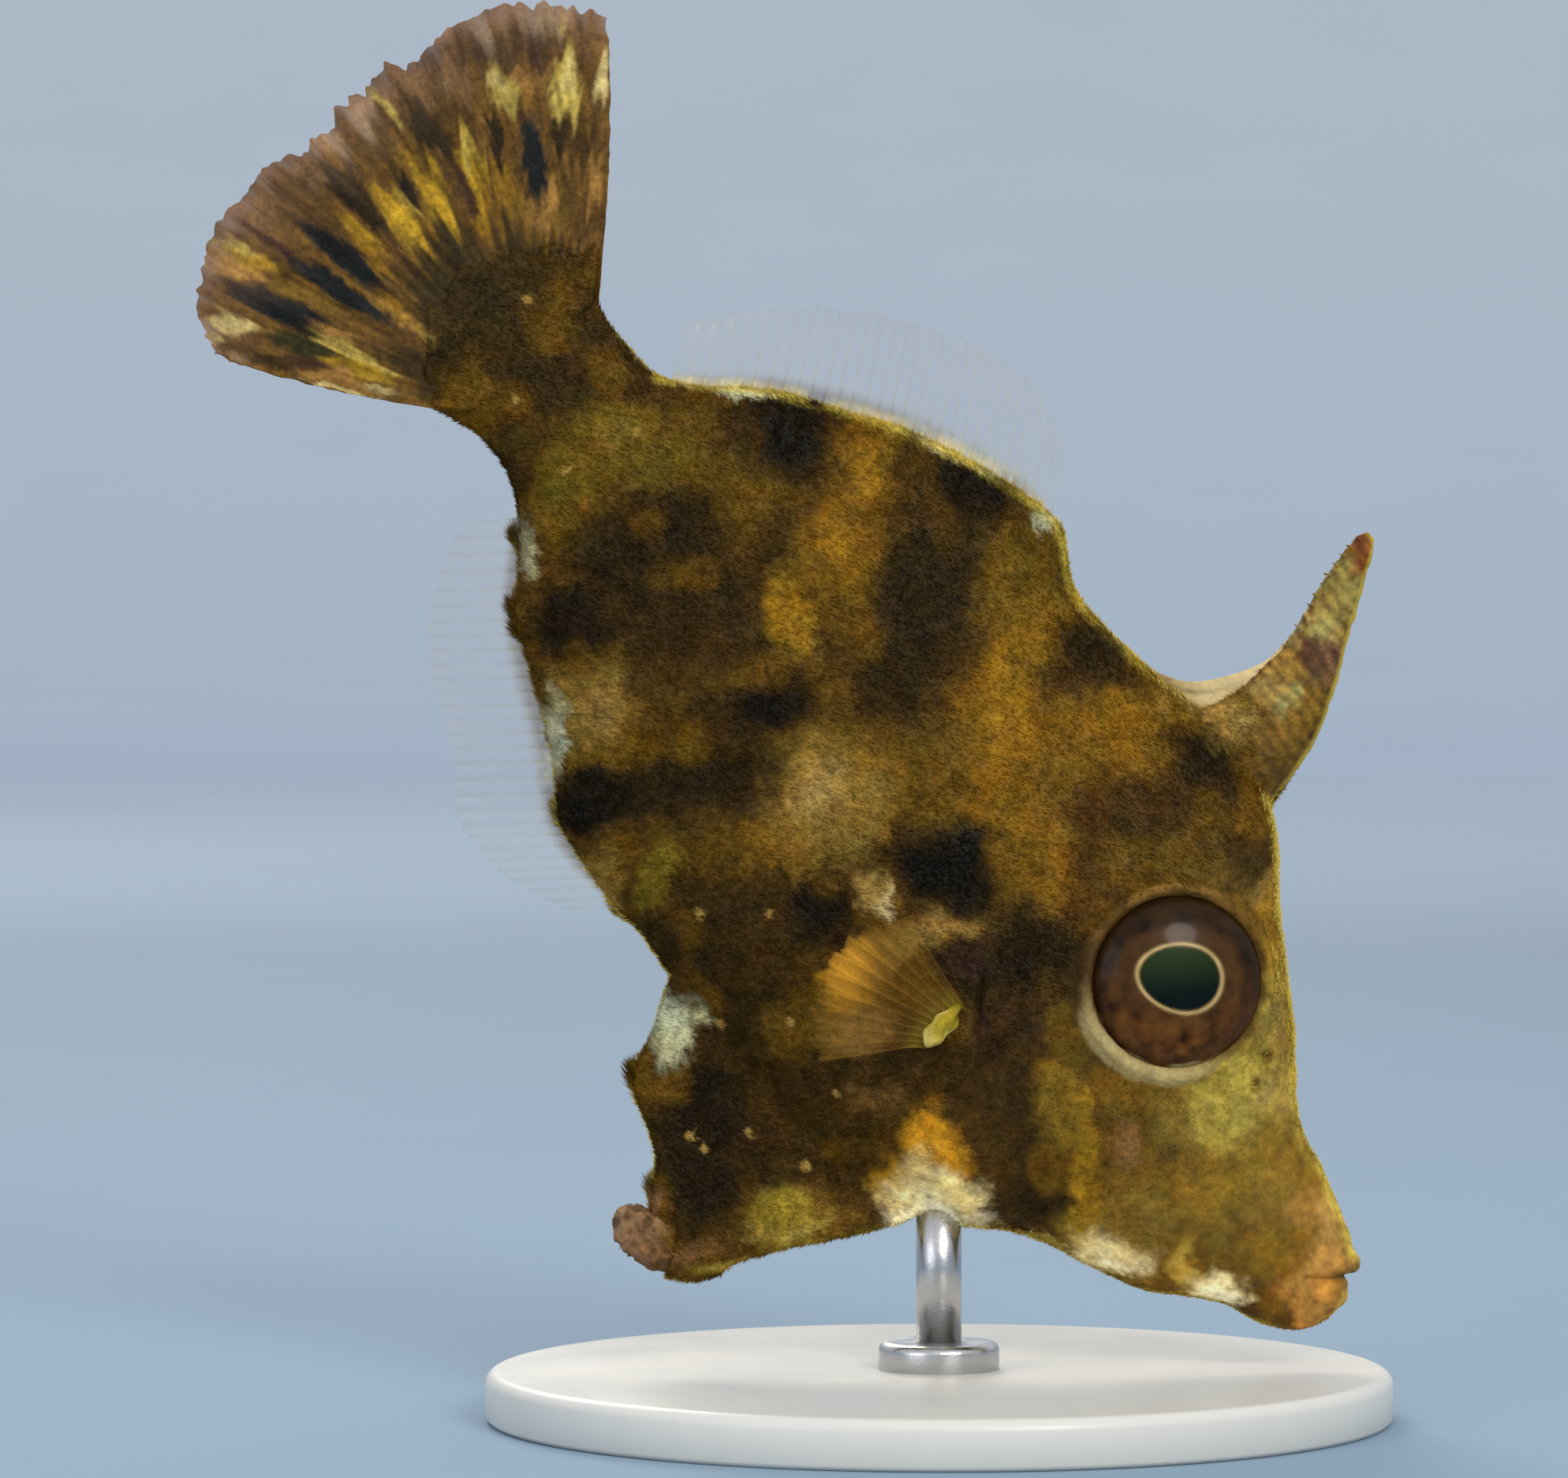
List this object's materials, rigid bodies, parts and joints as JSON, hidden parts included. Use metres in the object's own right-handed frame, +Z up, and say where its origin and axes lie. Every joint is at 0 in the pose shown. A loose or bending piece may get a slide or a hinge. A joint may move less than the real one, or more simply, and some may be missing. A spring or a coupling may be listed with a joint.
{
  "type": "filefish display model",
  "caption": "Life-size bristle-tail filefish diving nose down, first dorsal spine raised and tail fanned, held over a round base by a short rod.",
  "frame": {"origin": "centre of the flat underside of the round base, where the stand rests", "axes": "+Z up; the fish's head points down and towards +X, its right side faces -Y and its left side +Y, and its plane of symmetry is the plane Y = 0"},
  "size_m": [0.0477, 0.036, 0.0564],
  "materials": {
    "skin": "matt skin of fine bristly scales, mottled olive brown",
    "fin": "thin membrane over soft rays, nearly clear in life",
    "tail": "ochre and brown streaked fin membrane",
    "spine": "rough bone under thin skin, banded tan",
    "knob": "fused rough scales",
    "eye": "wet gloss, brown iris",
    "base": "satin off-white paint",
    "steel": "fine brushed"
  },
  "bodies": {
    "root": {"head": "skin", "torso": "skin", "tail_stalk": "skin", "pelvic_flap": "skin", "pelvic_knob": "knob", "dorsal_spine": "spine", "spine_web": "fin", "soft_dorsal_fin": "fin", "anal_fin": "fin", "caudal_fin": "tail", "pectoral_fin_right": "fin", "pectoral_fin_left": "fin", "eye_right": "eye", "eye_left": "eye", "stand_base": "base", "stand_boss": "steel", "stand_rod": "steel"}
  },
  "joints": []
}
